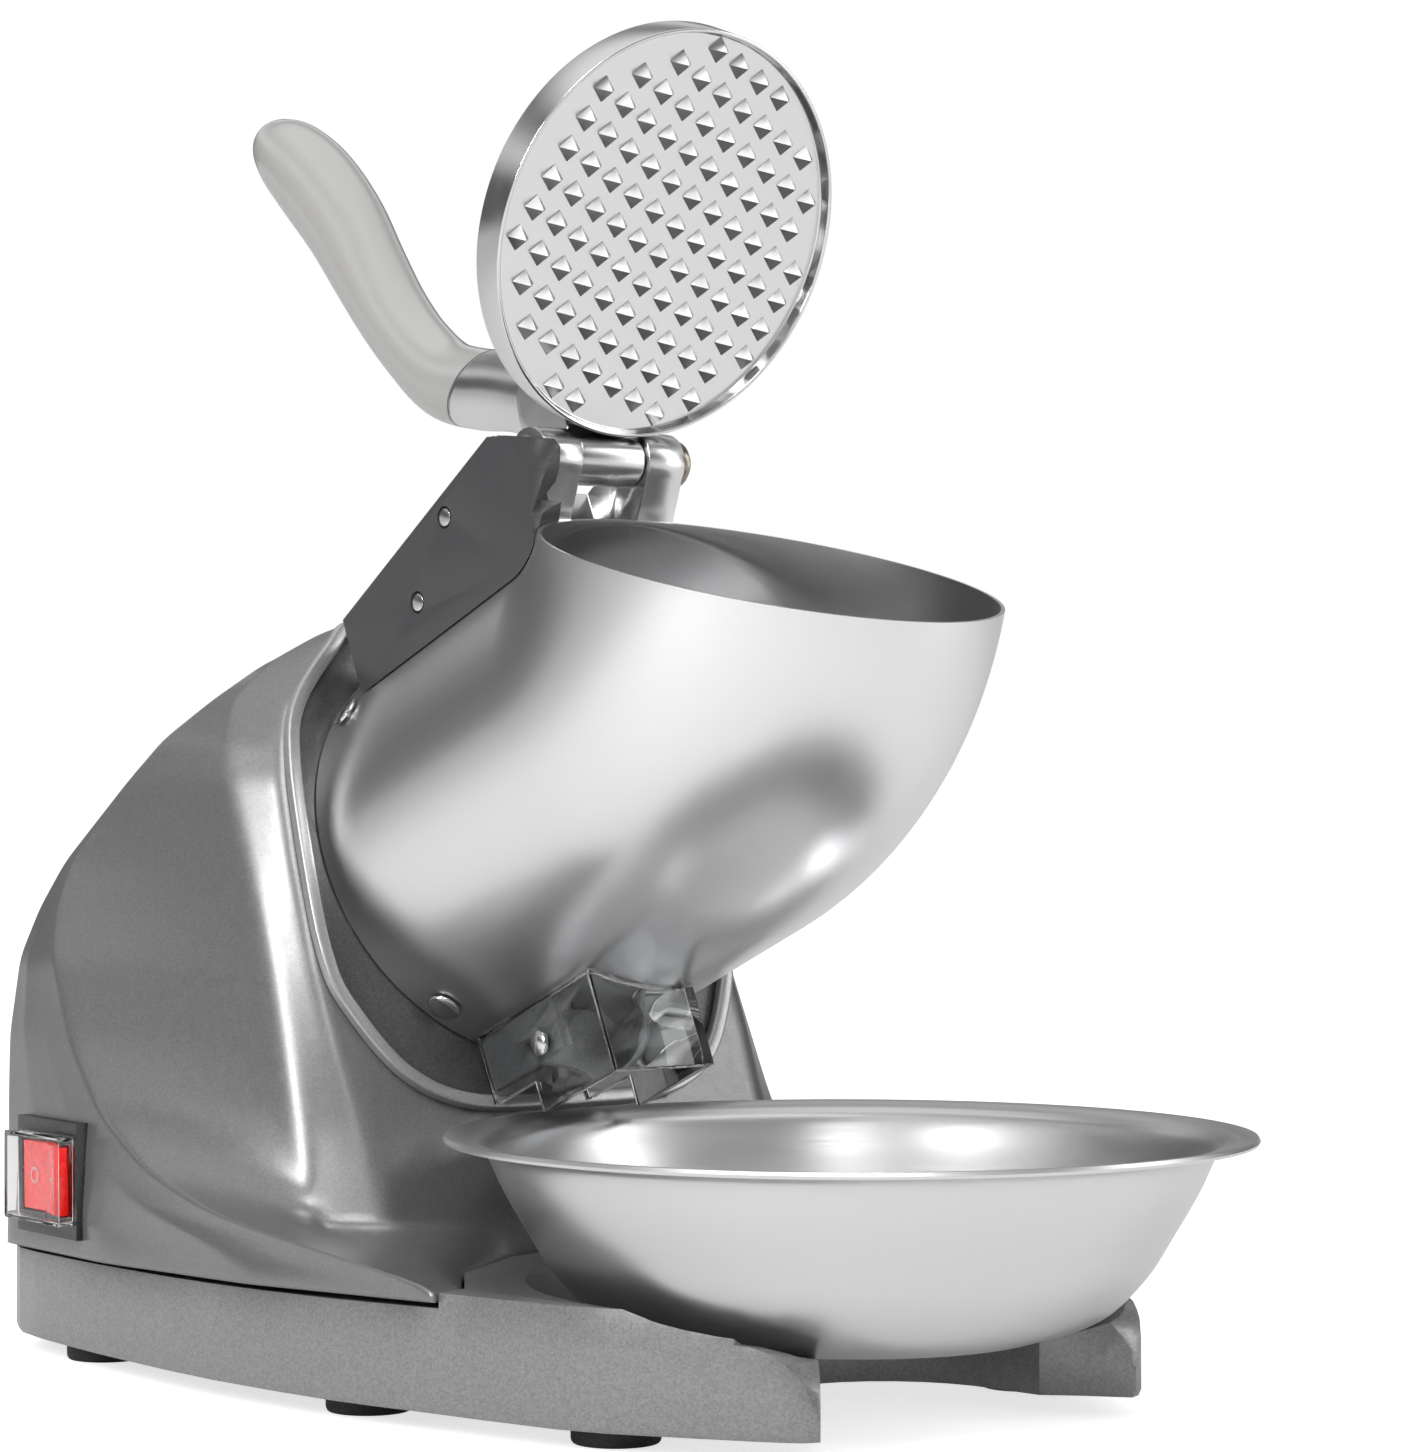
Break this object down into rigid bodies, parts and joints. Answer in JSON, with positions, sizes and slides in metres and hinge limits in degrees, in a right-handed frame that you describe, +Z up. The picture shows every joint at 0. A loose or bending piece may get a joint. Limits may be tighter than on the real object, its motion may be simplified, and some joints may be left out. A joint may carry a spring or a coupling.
{
  "type": "slushie ice shaver",
  "caption": "Countertop electric ice shaver for slushies: tilted drum hopper with toothed press lid and lever, clear ice chute, loose catch bowl on a cast base with rubber feet.",
  "frame": {"origin": "on the ground under the centre of the machine's overall box", "axes": "+Z up, -Y the front where the hopper and bowl are, -X the switch side"},
  "size_m": [0.2625, 0.438, 0.4209],
  "materials": {
    "housing_paint": "satin",
    "base_paint": "satin",
    "plate_paint": "satin",
    "bezel_cast": "satin",
    "steel_sheet": "satin",
    "polished_steel": "polished",
    "bowl_steel": "brushed",
    "press_aluminium": "polished",
    "arm_cast": "polished",
    "pin_steel": "satin",
    "grip_plastic": "glossy",
    "box_plastic": "matte",
    "microswitch_plastic": "matte",
    "screw_steel": "polished",
    "clear_guard": "clear",
    "spout_cast": "satin",
    "disc_aluminium": "brushed",
    "blade_steel": "ground",
    "seal_rubber": "matte",
    "motor_steel": "satin",
    "core_steel": "satin",
    "switch_black": "glossy",
    "rocker_red": "glossy",
    "clear_boot": "clear",
    "foot_rubber": "matte"
  },
  "bodies": {
    "machine": {"base_tray": "base_paint", "bezel_ring": "bezel_cast", "bottom_plate": "steel_sheet", "box_screw_1": "screw_steel", "box_screw_2": "screw_steel", "chute_guard": "clear_guard", "chute_screw_1": "screw_steel", "chute_screw_2": "screw_steel", "cord_gland": "seal_rubber", "discharge_spout": "spout_cast", "foot_1": "foot_rubber", "foot_2": "foot_rubber", "foot_3": "foot_rubber", "foot_4": "foot_rubber", "foot_5": "foot_rubber", "foot_6": "foot_rubber", "foot_screw_1": "screw_steel", "foot_screw_2": "screw_steel", "foot_screw_3": "screw_steel", "foot_screw_4": "screw_steel", "foot_screw_5": "screw_steel", "foot_screw_6": "screw_steel", "front_bearing": "screw_steel", "front_plate": "plate_paint", "hinge_bracket": "arm_cast", "hinge_pin": "pin_steel", "hopper": "polished_steel", "hopper_screw_1": "screw_steel", "hopper_screw_2": "screw_steel", "hopper_screw_3": "screw_steel", "hopper_screw_4": "screw_steel", "housing_shell": "housing_paint", "microswitch": "microswitch_plastic", "motor_case": "motor_steel", "motor_end_cap": "bezel_cast", "motor_mount": "bezel_cast", "rear_bearing": "screw_steel", "shaft_seal": "seal_rubber", "stator": "core_steel", "switch_boot": "clear_boot", "switch_box": "box_plastic", "switch_frame": "switch_black"},
    "lid": {"press_plate": "press_aluminium", "lever_arm": "arm_cast", "grip": "grip_plastic"},
    "cutter": {"cutter_disc": "disc_aluminium", "blade_1": "blade_steel", "blade_2": "blade_steel", "blade_screw_1": "screw_steel", "blade_screw_2": "screw_steel", "blade_screw_3": "screw_steel", "blade_screw_4": "screw_steel", "disc_nut": "screw_steel", "drive_shaft": "screw_steel", "rotor": "core_steel", "fan": "box_plastic"},
    "rocker": {"rocker": "rocker_red"},
    "bowl": {"bowl": "bowl_steel"},
    "plunger": {"safety_plunger": "screw_steel"}
  },
  "joints": [
    {"name": "lid_hinge", "type": "hinge", "parent": "machine", "child": "lid", "pos_m": [-0.004, 0.015, 0.288], "axis": [1, 0, 0], "range_deg": [0, 95]},
    {"name": "blade_spin", "type": "hinge", "parent": "machine", "child": "cutter", "pos_m": [0, 0.0696, 0.1633], "axis": [0, -0.9171, 0.3987], "continuous": true},
    {"name": "rocker_tilt", "type": "hinge", "parent": "machine", "child": "rocker", "pos_m": [-0.12498, 0.14338, 0.0605], "axis": [0, 0, 1], "range_deg": [0, 16]},
    {"name": "bowl_turn", "type": "hinge", "parent": "machine", "child": "bowl", "pos_m": [0, -0.098, 0.0253], "axis": [0, 0, 1], "continuous": true},
    {"name": "plunger_press", "type": "slide", "parent": "machine", "child": "plunger", "axis": [0, -0.3987, -0.9171], "range_m": [0, 0.0025], "stiffness_N_per_m": 300}
  ]
}
